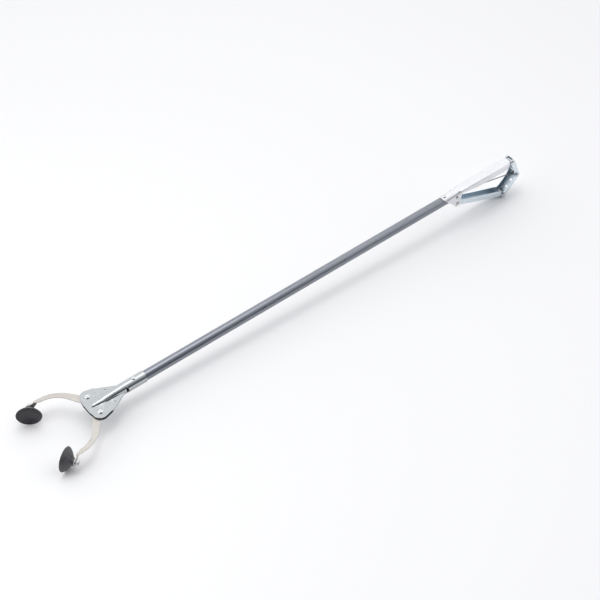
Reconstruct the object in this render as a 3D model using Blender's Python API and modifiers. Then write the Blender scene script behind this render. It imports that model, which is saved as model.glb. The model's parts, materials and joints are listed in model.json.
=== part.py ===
"""Reacher grabber: a tube with a two-jaw suction-cup head and a four-bar squeeze handle.

The tool is laid out in its own frame. X runs along the tube from the head to the handle, Z is up,
the tube's axis is the line y = z = 0, and x = 0 is the rear edge of the head's collar. The empty
grabber_frame then sets the tool down on its two cups and its handle, over the origin.
"""

import math

import bmesh
import bpy
from mathutils import Matrix, Vector

MM = 0.001
GAP = 0.3 * MM  # between pieces that touch
CUT = 60 * MM  # reach of a cutter that goes right through

# Tube and pull rod
TUBE_RADIUS = 7.95 * MM
TUBE_WALL = 1.0 * MM
TUBE_BORE = TUBE_RADIUS - TUBE_WALL
TUBE_FRONT = -30 * MM
TUBE_REAR = 629.5 * MM
ROD_RADIUS = 1.5 * MM
ROD_EYE_X = 638 * MM
WIRE_RADIUS = 1.05 * MM
YOKE_REAR = -77 * MM
BUSH_BORE = ROD_RADIUS + 0.35 * MM
BUSH_RADIUS = TUBE_BORE - GAP
SPRING_START = 62 * MM
SPRING_END = 112 * MM
SPRING_TURNS = 9
SPRING_RADIUS = 4.6 * MM
SPRING_WIRE = 0.6 * MM

# Rivets through the tube
HEAD_RIVET_X = -18.5 * MM
TOP_RIVET_X = 603 * MM
SIDE_RIVET_X = 625 * MM
RIVET_SHANK = 1.6 * MM

# Head
SHEET = 1.1 * MM
COLLAR_RADIUS = TUBE_RADIUS + GAP + SHEET
COLLAR_FRONT = -33 * MM
NECK_X = -37.5 * MM
JOGGLE_REAR = -70.5 * MM
JOGGLE_FRONT = -75 * MM
PLATE_FRONT = -102.6 * MM
LOW_LEVEL = 0.15 * MM + SHEET  # outer face of a plate where the two plates meet
HIGH_LEVEL = 2.15 * MM + SHEET  # outer face where the jaws run between them
JAW_PIVOT = Vector((-89, 18, 0)) * MM
LOBE_RADIUS = 12.2 * MM
JAW_THICKNESS = 1.6 * MM
JAW_LEVEL = 1.0 * MM  # middle of a jaw's thickness, one above and one below the axis
JAW_PIN_X = -91.6 * MM
JAW_RIVET_RADIUS = 2.3 * MM
YOKE_PIN_RADIUS = 1.5 * MM

# Cups, measured along their own axis from the rim
CUP_CENTRE = Vector((-172.4, 50.5, -9.1)) * MM
CUP_ANGLE = math.radians(57.7)  # from straight ahead, turned in towards the other cup
CUP_RADIUS = 19.6 * MM
CUP_BOSS_END = 15.5 * MM
TAB_MIDDLE = 16.6 * MM
TAB_SHOULDER = 7.0 * MM  # from the screw back along the tab to where the jaw's strip ends
CUP_SCREW_RADIUS = 1.9 * MM

# Handle: pivots in the plane y = 0, as (x, z)
HANDLE_SHEET = 1.0 * MM
HANDLE_HALF_WIDTH = 9.25 * MM
HANDLE_REAR_HALF_WIDTH = 6.6 * MM
WEB_TOP = 8.7 * MM
HANDLE_FRONT = 596.3 * MM
TRIGGER_PIVOT = (627 * MM, -14.3 * MM)
LINK_PIVOT = (737.5 * MM, -58.5 * MM)
WIRE_PIVOT = (766 * MM, -30.3 * MM)
TOP_PIVOT = (753 * MM, 5.4 * MM)
TRIGGER_HALF_WIDTH = 7.95 * MM
MIDDLE_HALF_WIDTH = 9.25 * MM
TOP_LINK_HALF_WIDTH = 7.95 * MM
PIN_RADIUS = 1.7 * MM
OPEN_PIVOT_CLEARANCE = 0.9 * MM
TRIGGER_WEB = 5.7 * MM
MIDDLE_WEB = 7.5 * MM
TOP_LINK_WEB = 6.4 * MM

# Resting attitude
REST_TILT = math.radians(-2.26)
FRAME_PLACE = Vector((-291.9, 0, 35.49)) * MM

ROUND_STEPS = 20


def clear_scene():
    for obj in list(bpy.data.objects):
        bpy.data.objects.remove(obj, do_unlink=True)


def make_collection(name):
    collection = bpy.data.collections.new(name)
    bpy.context.scene.collection.children.link(collection)
    return collection


def make_material(name, colour, roughness, metallic):
    material = bpy.data.materials.new(name)
    material.use_nodes = True
    shader = material.node_tree.nodes["Principled BSDF"]
    shader.inputs["Base Color"].default_value = (*colour, 1)
    shader.inputs["Roughness"].default_value = roughness
    shader.inputs["Metallic"].default_value = metallic
    material.diffuse_color = (*colour, 1)
    return material


clear_scene()
PARTS = make_collection("reacher_grabber")
CUTTERS = make_collection("cutters")
FRAME = bpy.data.objects.new("grabber_frame", None)
PARTS.objects.link(FRAME)

TUBE_FINISH = make_material("blue_grey_anodised_tube", (0.085, 0.09, 0.125), 0.32, 0.9)
HEAD_STEEL = make_material("head_zinc_plate", (0.40, 0.43, 0.45), 0.38, 1.0)
JAW_STEEL = make_material("satin_jaw_steel", (0.55, 0.52, 0.48), 0.42, 1.0)
RUBBER = make_material("black_rubber", (0.018, 0.018, 0.021), 0.7, 0.0)
HANDLE_STEEL = make_material("handle_bright_zinc", (0.72, 0.75, 0.80), 0.28, 1.0)
FASTENER = make_material("fastener_zinc", (0.55, 0.56, 0.57), 0.3, 1.0)
NYLON = make_material("white_nylon_bush", (0.75, 0.74, 0.70), 0.5, 0.0)
SPRING_STEEL = make_material("spring_steel", (0.35, 0.35, 0.36), 0.35, 1.0)


# ---------------------------------------------------------------- building blocks


def place(name, mesh, material, origin=(0, 0, 0), rotation=None):
    """Adds a mesh that is given in the tool's frame, with the object's origin at a chosen point.

    With a rotation, the mesh is given about the origin in the object's own axes instead.
    """
    obj = bpy.data.objects.new(name, mesh)
    if rotation is None:
        mesh.transform(Matrix.Translation(-Vector(origin)))
    else:
        obj.rotation_mode = "QUATERNION"
        obj.rotation_quaternion = rotation
    obj.location = origin
    obj.parent = FRAME
    if material is None:
        obj.hide_render = True
        obj.display_type = "WIRE"
        CUTTERS.objects.link(obj)
    else:
        mesh.materials.append(material)
        PARTS.objects.link(obj)
    return obj


def shade(mesh, degrees=35):
    mesh.shade_smooth()
    mesh.set_sharp_from_angle(angle=math.radians(degrees))


def mesh_from_curve(curve):
    """The solid of a curve, with its caps welded on."""
    obj = bpy.data.objects.new("outline", curve)
    bpy.context.scene.collection.objects.link(obj)
    graph = bpy.context.evaluated_depsgraph_get()
    mesh = bpy.data.meshes.new_from_object(obj.evaluated_get(graph))
    bpy.data.objects.remove(obj)
    bpy.data.curves.remove(curve)
    solid = bmesh.new()
    solid.from_mesh(mesh)
    bmesh.ops.remove_doubles(solid, verts=solid.verts, dist=0.01 * MM)
    bmesh.ops.recalc_face_normals(solid, faces=solid.faces)
    solid.to_mesh(mesh)
    solid.free()
    return mesh


def flat_mesh(loops, low, high):
    """A flat plate in the XY plane from low to high. The first loop is its edge, the others holes."""
    curve = bpy.data.curves.new("outline", "CURVE")
    curve.dimensions = "2D"
    curve.fill_mode = "BOTH"
    curve.extrude = (high - low) / 2
    for loop in loops:
        spline = curve.splines.new("POLY")
        spline.points.add(len(loop) - 1)
        for point, (x, y) in zip(spline.points, loop):
            point.co = (x, y, 0, 1)
        spline.use_cyclic_u = True
    mesh = mesh_from_curve(curve)
    mesh.transform(Matrix.Translation((0, 0, (low + high) / 2)))
    return mesh


def upright_mesh(loops, half_width):
    """A plate whose outline is in the XZ plane, reaching half_width to either side of y = 0."""
    mesh = flat_mesh(loops, -half_width, half_width)
    mesh.transform(Matrix.Rotation(math.pi / 2, 4, "X"))
    return mesh


def arc(centre, radius, start, end, steps=8):
    """Points on an arc, with its angles in degrees."""
    points = []
    for step in range(steps + 1):
        angle = math.radians(start + (end - start) * step / steps)
        points.append((centre[0] + radius * math.cos(angle), centre[1] + radius * math.sin(angle)))
    return points


def circle(centre, radius, steps=ROUND_STEPS):
    return arc(centre, radius, 0, 360 * (steps - 1) / steps, steps - 1)


def wire_mesh(points, radius, closed=False):
    curve = bpy.data.curves.new("wire", "CURVE")
    curve.dimensions = "3D"
    curve.bevel_depth = radius
    curve.bevel_resolution = 2
    curve.use_fill_caps = True
    spline = curve.splines.new("POLY")
    spline.points.add(len(points) - 1)
    for point, place_ in zip(spline.points, points):
        point.co = (*place_, 1)
    spline.use_cyclic_u = closed
    return mesh_from_curve(curve)


def turned(name, profile, origin, direction, material, steps=ROUND_STEPS, ring=False):
    """A turned piece. The profile is (radius, height) down its outer side; a ring is hollow."""
    mesh = bpy.data.meshes.new(name)
    edges = [(i, i + 1) for i in range(len(profile) - 1)]
    if ring:
        edges.append((len(profile) - 1, 0))
    mesh.from_pydata([(radius, 0, height) for radius, height in profile], edges, [])
    obj = place(name, mesh, material, origin, Vector(direction).to_track_quat("Z", "Y"))
    screw = obj.modifiers.new("turn", "SCREW")
    screw.steps = screw.render_steps = steps
    screw.use_merge_vertices = True
    screw.merge_threshold = 0.001 * MM
    screw.use_smooth_shade = True
    return obj


def ring_piece(name, outer, inner, low, high, origin, direction, material, chamfer=0.2 * MM):
    profile = [
        (outer - chamfer, high),
        (outer, high - chamfer),
        (outer, low + chamfer),
        (outer - chamfer, low),
        (inner, low),
        (inner, high),
    ]
    return turned(name, profile, origin, direction, material, ring=True)


def rivet(name, shank, head, height, grip, origin, direction, material=FASTENER):
    """A rivet with a dome at both ends. The grip is the distance between its heads."""
    dome = [(0, 1.0), (0.45, 0.93), (0.8, 0.62), (1.0, 0.15), (1.0, 0.0)]
    top = [(head * r, grip / 2 + height * h) for r, h in dome]
    bottom = [(head * r, -grip / 2 - height * h) for r, h in reversed(dome)]
    profile = [*top, (shank, grip / 2), (shank, -grip / 2), *bottom]
    return turned(name, profile, origin, direction, material, steps=16)


def shell_mesh(name, outer, inner):
    """A closed sheet between two faces, each given as rows of points seen from outside."""
    count, columns = len(outer), len(outer[0])
    layer = count * columns
    points = [point for face in (outer, inner) for row in face for point in row]
    faces = []
    for i in range(count - 1):
        for j in range(columns - 1):
            first = i * columns + j
            quad = (first, first + columns, first + columns + 1, first + 1)
            faces.append(quad)
            faces.append(tuple(layer + index for index in reversed(quad)))
    rim = list(range(columns))
    rim += [i * columns + columns - 1 for i in range(1, count)]
    rim += [(count - 1) * columns + j for j in range(columns - 2, -1, -1)]
    rim += [i * columns for i in range(count - 2, 0, -1)]
    for here, after in zip(rim, rim[1:] + rim[:1]):
        faces.append((here, after, after + layer, here + layer))
    mesh = bpy.data.meshes.new(name)
    mesh.from_pydata(points, [], faces)
    return mesh


def cut(obj, cutter, operation="DIFFERENCE"):
    boolean = obj.modifiers.new(operation.lower(), "BOOLEAN")
    boolean.operation = operation
    boolean.solver = "EXACT"
    boolean.object = cutter


def hole_cutter(name, radius, centre, axis, length=CUT, steps=ROUND_STEPS):
    """A round cutter in the tool's frame along X, Y or Z."""
    solid = bmesh.new()
    bmesh.ops.create_cone(
        solid, cap_ends=True, segments=steps, radius1=radius, radius2=radius, depth=length
    )
    turn = {"X": Matrix.Rotation(math.pi / 2, 4, "Y"), "Y": Matrix.Rotation(math.pi / 2, 4, "X")}
    bmesh.ops.transform(solid, matrix=turn.get(axis, Matrix.Identity(4)), verts=solid.verts)
    bmesh.ops.translate(solid, vec=Vector(centre), verts=solid.verts)
    mesh = bpy.data.meshes.new(name)
    solid.to_mesh(mesh)
    solid.free()
    return place(name, mesh, None)


def in_plane(point, y=0.0):
    return Vector((point[0], y, point[1]))


# ---------------------------------------------------------------- tube, rod and spring


def make_tube():
    middle = (TUBE_FRONT + TUBE_REAR) / 2
    half = (TUBE_REAR - TUBE_FRONT) / 2
    origin = (middle, 0, 0)
    tube = turned(
        "shaft_tube",
        [(TUBE_RADIUS, half), (TUBE_RADIUS, -half), (TUBE_BORE, -half), (TUBE_BORE, half)],
        origin,
        (1, 0, 0),
        TUBE_FINISH,
        steps=32,
        ring=True,
    )
    for x, axis in ((HEAD_RIVET_X, "Z"), (TOP_RIVET_X, "Z"), (SIDE_RIVET_X, "Y")):
        cut(tube, hole_cutter("tube_rivet_hole", RIVET_SHANK + GAP, (x, 0, 0), axis, steps=16))


def make_tube_fittings():
    for name, x, length in (
        ("front_guide_bush", 2 * MM, 8 * MM),
        ("spring_rear_bush", SPRING_END + GAP + SPRING_WIRE, 6 * MM),
        ("rear_guide_bush", 584 * MM, 9 * MM),
    ):
        ring_piece(name, BUSH_RADIUS, BUSH_BORE, 0, length, (x, 0, 0), (1, 0, 0), NYLON)
    stop_x = SPRING_START - GAP - SPRING_WIRE - 4 * MM
    ring_piece(
        "spring_stop_collar", 5.6 * MM, ROD_RADIUS + GAP, 0, 4 * MM, (stop_x, 0, 0), (1, 0, 0), FASTENER
    )
    points = []
    steps = 10 * SPRING_TURNS
    for step in range(steps + 1):
        angle = 2 * math.pi * SPRING_TURNS * step / steps
        x = SPRING_START + (SPRING_END - SPRING_START) * step / steps
        points.append((x, SPRING_RADIUS * math.cos(angle), SPRING_RADIUS * math.sin(angle)))
    spring = place("return_spring", wire_mesh(points, SPRING_WIRE), SPRING_STEEL)
    spring.data.shade_smooth()



def make_pull_rod():
    """A straight rod down the tube that ends in a flat eye behind it."""
    mesh = wire_mesh([(YOKE_REAR + GAP, 0, 0), (ROD_EYE_X - 2.6 * MM, 0, 0)], ROD_RADIUS)
    rod = place("pull_rod", mesh, SPRING_STEEL, (ROD_EYE_X, 0, 0))
    eye = upright_mesh([circle((ROD_EYE_X, 0), 3.4 * MM)], 1.0 * MM)
    cut(rod, place("rod_eye_blank", eye, None), "UNION")
    cut(rod, hole_cutter("rod_eye_hole", WIRE_RADIUS + 0.5 * MM, (ROD_EYE_X, 0, 0), "Y"))
    shade(rod.data)


def make_yoke():
    """A clevis on the rod's front end, over and under the two jaw tails, and its pin."""
    tip = JAW_PIN_X
    outline = [
        *arc((tip, 0), 3.1 * MM, 90, 270, 10),
        (YOKE_REAR, -3.1 * MM),
        (YOKE_REAR, 3.1 * MM),
    ]
    yoke = place("pull_yoke", flat_mesh([outline], -3.0 * MM, 3.0 * MM), FASTENER, (tip, 0, 0))
    slot_rear = tip + 6.2 * MM
    mouth = [
        (tip - 8 * MM, -5 * MM),
        (slot_rear, -5 * MM),
        (slot_rear, 5 * MM),
        (tip - 8 * MM, 5 * MM),
    ]
    cut(yoke, place("yoke_mouth", flat_mesh([mouth], -2.05 * MM, 2.05 * MM), None))
    cut(yoke, hole_cutter("yoke_pin_hole", YOKE_PIN_RADIUS + GAP, (tip, 0, 0), "Z", steps=16))
    pin = [
        (0, 3.05 * MM),
        (YOKE_PIN_RADIUS - 0.3 * MM, 3.05 * MM),
        (YOKE_PIN_RADIUS, 2.8 * MM),
        (YOKE_PIN_RADIUS, -2.8 * MM),
        (YOKE_PIN_RADIUS - 0.3 * MM, -3.05 * MM),
        (0, -3.05 * MM),
    ]
    turned("yoke_pin", pin, (tip, 0, 0), (0, 0, 1), FASTENER, steps=16)


# ---------------------------------------------------------------- head


def plate_outline():
    """Plan of a head plate: collar, narrow neck, flared sides and a lobe round each jaw rivet."""
    pivot = (JAW_PIVOT.x, JAW_PIVOT.y)
    side = [
        (0, 13 * MM),
        (COLLAR_FRONT, 13 * MM),
        (COLLAR_FRONT - 2.2 * MM, 8.2 * MM),
        (NECK_X - 2 * MM, 8.6 * MM),
        (-50 * MM, 14.2 * MM),
        (-60 * MM, 19.9 * MM),
        (-72 * MM, 26.0 * MM),
        *arc(pivot, LOBE_RADIUS, 68, 178, 14),
        (PLATE_FRONT, 9 * MM),
    ]
    return side + [(x, -y) for x, y in reversed(side)]


def plate_level(x):
    """Outer face of the flat part of a plate, which steps out at the joggle."""
    share = (JOGGLE_REAR - x) / (JOGGLE_REAR - JOGGLE_FRONT)
    return LOW_LEVEL + (HIGH_LEVEL - LOW_LEVEL) * min(max(share, 0), 1)


# The rib over the rod: x, half width and height, ending in a blunt point
RIB = (
    (-37.5, 8.5, 9.1),
    (-44, 8.3, 8.75),
    (-50, 8.0, 8.4),
    (-60, 7.5, 7.7),
    (-70.5, 6.9, 7.1),
    (-75, 6.6, 6.9),
    (-82, 6.0, 6.5),
    (-88, 5.4, 6.05),
    (-91.5, 4.9, 5.6),
    (-93.5, 4.4, 5.2),
    (-94.8, 3.7, 4.7),
    (-95.7, 2.8, 4.0),
    (-96.3, 2.0, 3.3),
    (-99, 1.6, 0),
    (-105, 1.4, 0),
)
RIB_STEPS = 12


def plate_row(x, half_width, height, inset):
    """Cross-section of a plate's face: flat, rib and flat. The inner face is inset by the sheet."""
    level = plate_level(x)
    reach = min(11 * MM + (NECK_X - x) * 0.75, 34 * MM)
    inner_half = half_width - inset * 0.8
    rise = max(height - level, 0)
    points = [(x, -reach, level - inset), (x, -(reach + half_width) / 2, level - inset)]
    for step in range(RIB_STEPS + 1):
        angle = math.pi * (1 - step / RIB_STEPS)
        points.append((x, inner_half * math.cos(angle), level - inset + rise * math.sin(angle) ** 0.9))
    points += [(x, -py, pz) for x, py, pz in reversed(points[:2])]
    return points


def collar_row(x, inset):
    """Cross-section of the half-round collar's face."""
    radius = COLLAR_RADIUS - inset
    points = [(x, -radius, GAP / 2)]
    for step in range(RIB_STEPS + 3):
        angle = math.radians(177 - 174 * step / (RIB_STEPS + 2))
        points.append((x, radius * math.cos(angle), radius * math.sin(angle)))
    points.append((x, radius, GAP / 2))
    return points


def make_head_plate(name, side):
    faces = []
    for inset in (0, SHEET):
        rows = [plate_row(x * MM, half * MM, height * MM, inset) for x, half, height in reversed(RIB)]
        rows += [collar_row(x, inset) for x in (COLLAR_FRONT, 3 * MM)]
        rows = [[(px, py, side * pz) for px, py, pz in row] for row in rows]
        faces.append(rows if side > 0 else [row[::-1] for row in rows])
    plate = place(name, shell_mesh(name, *faces), HEAD_STEEL)
    trim = flat_mesh([plate_outline()], -CUT / 2, CUT / 2)
    cut(plate, place(name + "_trim", trim, None), "INTERSECT")
    for y in (-1, 1):
        relief = hole_cutter(name + "_relief", 2.0 * MM, (-34.6 * MM, y * 8.4 * MM, 0), "Z", steps=16)
        cut(plate, relief)
        cut(plate, hole_cutter(name + "_eyelet", 1.5 * MM, (-60.8 * MM, y * 14.2 * MM, 0), "Z", steps=14))
        pivot = (JAW_PIVOT.x, y * JAW_PIVOT.y, 0)
        cut(plate, hole_cutter(name + "_pivot_hole", JAW_RIVET_RADIUS + GAP, pivot, "Z"))
    depth = side * CUT / 4
    rivet_hole = (HEAD_RIVET_X, 0, depth)
    cut(plate, hole_cutter(name + "_rivet_hole", RIVET_SHANK + GAP, rivet_hole, "Z", CUT / 2, 16))
    shade(plate.data, 25)


def make_collar_rivet(name, origin, direction, inner):
    """A blind rivet through a collar and the tube wall, with its closed end inside the tube."""
    head = 3.3 * MM
    profile = [
        (0, 1.35 * MM),
        (0.5 * head, 1.2 * MM),
        (0.85 * head, 0.75 * MM),
        (head, 0.1 * MM),
        (head, 0),
        (RIVET_SHANK, 0),
        (RIVET_SHANK, -inner),
        (RIVET_SHANK + 0.7 * MM, -inner - 0.2 * MM),
        (RIVET_SHANK + 0.5 * MM, -inner - 1.6 * MM),
        (0, -inner - 1.8 * MM),
    ]
    return turned(name, profile, origin, direction, FASTENER, steps=16)


def make_head_fasteners():
    seat = COLLAR_RADIUS + GAP
    inner = COLLAR_RADIUS - TUBE_BORE + 2 * GAP
    for side, word in ((1, "top"), (-1, "bottom")):
        origin = (HEAD_RIVET_X, 0, side * seat)
        make_collar_rivet("head_collar_rivet_" + word, origin, (0, 0, side), inner)
    for side, word in ((1, "left"), (-1, "right")):
        origin = (JAW_PIVOT.x, side * JAW_PIVOT.y, 0)
        grip = 2 * (HIGH_LEVEL + GAP)
        rivet("jaw_rivet_" + word, JAW_RIVET_RADIUS, 4.6 * MM, 1.7 * MM, grip, origin, (0, 0, 1))
        low = -side * JAW_LEVEL - JAW_THICKNESS / 2
        ring_piece(
            "jaw_spacer_" + word,
            5.2 * MM,
            JAW_RIVET_RADIUS + GAP,
            low,
            low + JAW_THICKNESS,
            origin,
            (0, 0, 1),
            FASTENER,
        )


# Middle line of the left jaw's strip from its rivet to its tip: x, y and width
JAW_LINE = (
    (-89.0, 18.0, 14.4),
    (-98.6, 22.4, 13.6),
    (-105.0, 31.0, 11.4),
    (-110.8, 39.4, 9.9),
    (-117.6, 46.6, 9.0),
    (-127.6, 53.6, 8.0),
    (-138.0, 57.6, 7.4),
    (-147.5, 59.0, 7.0),
)


def smooth_line(points, steps):
    """Catmull-Rom curve through the points."""
    ends = [points[0], *points, points[-1]]
    line = []
    for i in range(1, len(ends) - 2):
        for step in range(steps):
            t = step / steps
            before, start, end, after = ends[i - 1 : i + 3]
            line.append(
                tuple(
                    0.5 * (2 * b + (c - a) * t + (2 * a - 5 * b + 4 * c - d) * t**2)
                    + 0.5 * (3 * b - a - 3 * c + d) * t**3
                    for a, b, c, d in zip(before, start, end, after)
                )
            )
    line.append(tuple(points[-1]))
    return line


def cup_axes(side):
    """The cup's rim centre, the direction it faces, and the tab's direction along the fold."""
    centre = Vector((CUP_CENTRE.x, side * CUP_CENTRE.y, CUP_CENTRE.z))
    facing = Vector((-math.cos(CUP_ANGLE), -side * math.sin(CUP_ANGLE), 0))
    along = Vector((-math.sin(CUP_ANGLE), side * math.cos(CUP_ANGLE), 0))
    return centre, facing, along


def jaw_outline():
    """Plan of the left jaw: curved strip, round body at the rivet and tail reaching the yoke pin."""
    line = [tuple(value * MM for value in point) for point in JAW_LINE]
    outer, inner = [], []
    curve = smooth_line(line, 4)
    for before, here, after in zip(curve[2:], curve[3:], curve[4:] + curve[-1:]):
        run = Vector((after[0] - before[0], after[1] - before[1])).normalized()
        if here[0] > JAW_PIVOT.x - 8.5 * MM:
            continue
        half = here[2] / 2
        outer.append((here[0] + run.y * half, here[1] - run.x * half))
        inner.append((here[0] - run.y * half, here[1] + run.x * half))
    centre, facing, along = cup_axes(1)
    fold = centre - facing * TAB_MIDDLE
    tip_far = fold - along * TAB_SHOULDER
    tip_near = fold - along * 12.5 * MM
    tip = [
        (tip_far.x + 2 * MM, tip_far.y + 1.9 * MM),
        (tip_far.x, tip_far.y + 1.2 * MM),
        (tip_far.x, tip_far.y),
        (tip_near.x, tip_near.y),
    ]
    pivot = (JAW_PIVOT.x, JAW_PIVOT.y)
    tail = Vector((JAW_PIN_X - pivot[0], -pivot[1]))
    turn = math.degrees(math.atan2(tail.y, tail.x)) + 90
    end = (pivot[0] + tail.x * 1.04, pivot[1] + tail.y * 1.04)
    body = arc(pivot, 7.4 * MM, 112, turn, 9) + arc(end, 4.8 * MM, turn, turn - 180, 8)
    crotch = [(-95.4 * MM, 11.5 * MM), (-97.2 * MM, 12.4 * MM)]
    return list(reversed(outer)) + body + crotch + inner + list(reversed(tip))


def make_jaw(word, side):
    level = side * JAW_LEVEL
    low, high = level - JAW_THICKNESS / 2, level + JAW_THICKNESS / 2
    pivot = Vector((JAW_PIVOT.x, side * JAW_PIVOT.y, 0))
    outline = [(x, side * y) for x, y in jaw_outline()]
    jaw = place("jaw_" + word, flat_mesh([outline], low, high), JAW_STEEL, pivot)
    centre, facing, along = cup_axes(side)
    radius = 5.8 * MM
    drop = high - centre.z - 0.1 * MM
    tab_shape = [(-12.6 * MM, drop), (-12.6 * MM, drop - 2 * MM), (-8.5 * MM, 2 * MM)]
    shoulder = 0.1 * MM - TAB_SHOULDER
    tab_shape += arc((0, 0), radius, 205, 462, 18) + [(shoulder, drop - 1.9 * MM), (shoulder, drop)]
    tab = flat_mesh([tab_shape], -JAW_THICKNESS / 2, JAW_THICKNESS / 2)
    normal = along.cross(Vector((0, 0, 1)))
    turn = Matrix((along, Vector((0, 0, 1)), normal)).transposed().to_4x4()
    middle = centre - facing * TAB_MIDDLE
    tab.transform(Matrix.Translation(middle) @ turn)
    cut(jaw, place("jaw_tab_" + word, tab, None), "UNION")
    cut(jaw, hole_cutter("jaw_hole_" + word, JAW_RIVET_RADIUS + GAP, pivot, "Z"))
    pin = Vector((JAW_PIN_X, 0))
    base = Vector((pivot.x, pivot.y))
    run = (pin - base).normalized()
    angle = math.degrees(math.atan2(run.y, run.x))
    near = base + run * (abs(pivot.y) - 0.7 * MM)
    far = base + run * (abs(pivot.y) + 2.3 * MM)
    half = YOKE_PIN_RADIUS + 0.55 * MM
    slot = arc(near, half, angle + 90, angle + 270, 6) + arc(far, half, angle - 90, angle + 90, 6)
    cut(jaw, place("jaw_slot_" + word, flat_mesh([slot], -CUT / 4, CUT / 4), None))
    bore = turned(
        "jaw_tab_hole_" + word,
        [(0, CUT / 6), (CUP_SCREW_RADIUS + GAP, CUT / 6), (CUP_SCREW_RADIUS + GAP, -CUT / 6), (0, -CUT / 6)],
        middle,
        facing,
        None,
        steps=16,
    )
    cut(jaw, bore)
    shade(jaw.data)


def make_cup(word, side):
    centre, facing, along = cup_axes(side)
    bore = CUP_SCREW_RADIUS + GAP
    profile = [
        (CUP_RADIUS / MM, 0.0),
        (19.3, -1.3),
        (16.6, -4.4),
        (12.6, -7.8),
        (8.6, -10.4),
        (6.7, -11.6),
        (6.2, -12.6),
        (6.1, -15.1),
        (5.7, -15.5),
    ]
    inside = [(4.6, -8.0), (5.4, -7.8), (9.2, -6.6), (13.2, -4.7), (17.4, -1.8), (19.0, -0.1)]
    pocket = [(bore, -CUP_BOSS_END), (bore, -11.0 * MM), (4.2 * MM, -11.0 * MM), (4.2 * MM, -9.3 * MM)]
    points = [(r * MM, h * MM) for r, h in [(0, -8.1), *inside, *profile]] + pocket + [(0, -9.3 * MM)]
    turned("suction_cup_" + word, points, centre, facing, RUBBER, steps=32)
    screw = [
        (0, -9.6),
        (3.6, -9.6),
        (3.9, -9.9),
        (3.9, -10.7),
        (1.9, -10.7),
        (1.9, -22.6),
        (1.5, -23.2),
        (0, -23.2),
    ]
    points = [(r * MM, h * MM) for r, h in screw]
    turned("cup_screw_" + word, points, centre, facing, FASTENER, steps=16)
    seat = TAB_MIDDLE + JAW_THICKNESS / 2 + GAP
    washer = 0.9 * MM
    ring_piece(
        "cup_washer_" + word, 4.6 * MM, bore, -seat - washer, -seat, centre, facing, FASTENER, 0.15 * MM
    )
    nut_start = seat + washer + GAP
    nut = flat_mesh([circle((0, 0), 4.05 * MM, 6), circle((0, 0), bore, 16)], 0, 3.1 * MM)
    turn = (-facing).to_track_quat("Z", "Y")
    place("cup_nut_" + word, nut, FASTENER, centre - facing * nut_start, turn)


# ---------------------------------------------------------------- handle


def u_section(x, half_width, web, corner, side, inset):
    """One face of a channel at x: flange, round corner, web, round corner, flange."""
    half_width, web, corner = half_width - inset, web - inset, corner - inset
    points = [(-half_width, -CUT / 3)]
    for start, middle_y in ((180, corner - half_width), (90, half_width - corner)):
        points += arc((middle_y, web - corner), corner, start, start - 90, 6)
    points.append((half_width, -CUT / 3))
    row = [(x, y, side * z) for y, z in points]
    return row if side > 0 else row[::-1]


def make_channel(name, stations, outline, origin=(0, 0, 0), turn=0.0, side=1):
    """A bent-sheet channel. Its web is up on side 1 and down on side -1.

    Each station is x, half width, web distance and corner radius. The outline, in the channel's
    own x and z, trims the flanges and the ends. turn is its tilt about Y.
    """
    faces = [[u_section(*station, side, inset) for station in stations] for inset in (0, HANDLE_SHEET)]
    rotation = Matrix.Rotation(turn, 3, "Y").to_quaternion()
    channel = place(name, shell_mesh(name, *faces), HANDLE_STEEL, origin, rotation)
    trim = place(name + "_trim", upright_mesh([outline], CUT / 2), None, origin, rotation)
    cut(channel, trim, "INTERSECT")
    shade(channel.data, 25)
    return channel


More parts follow.
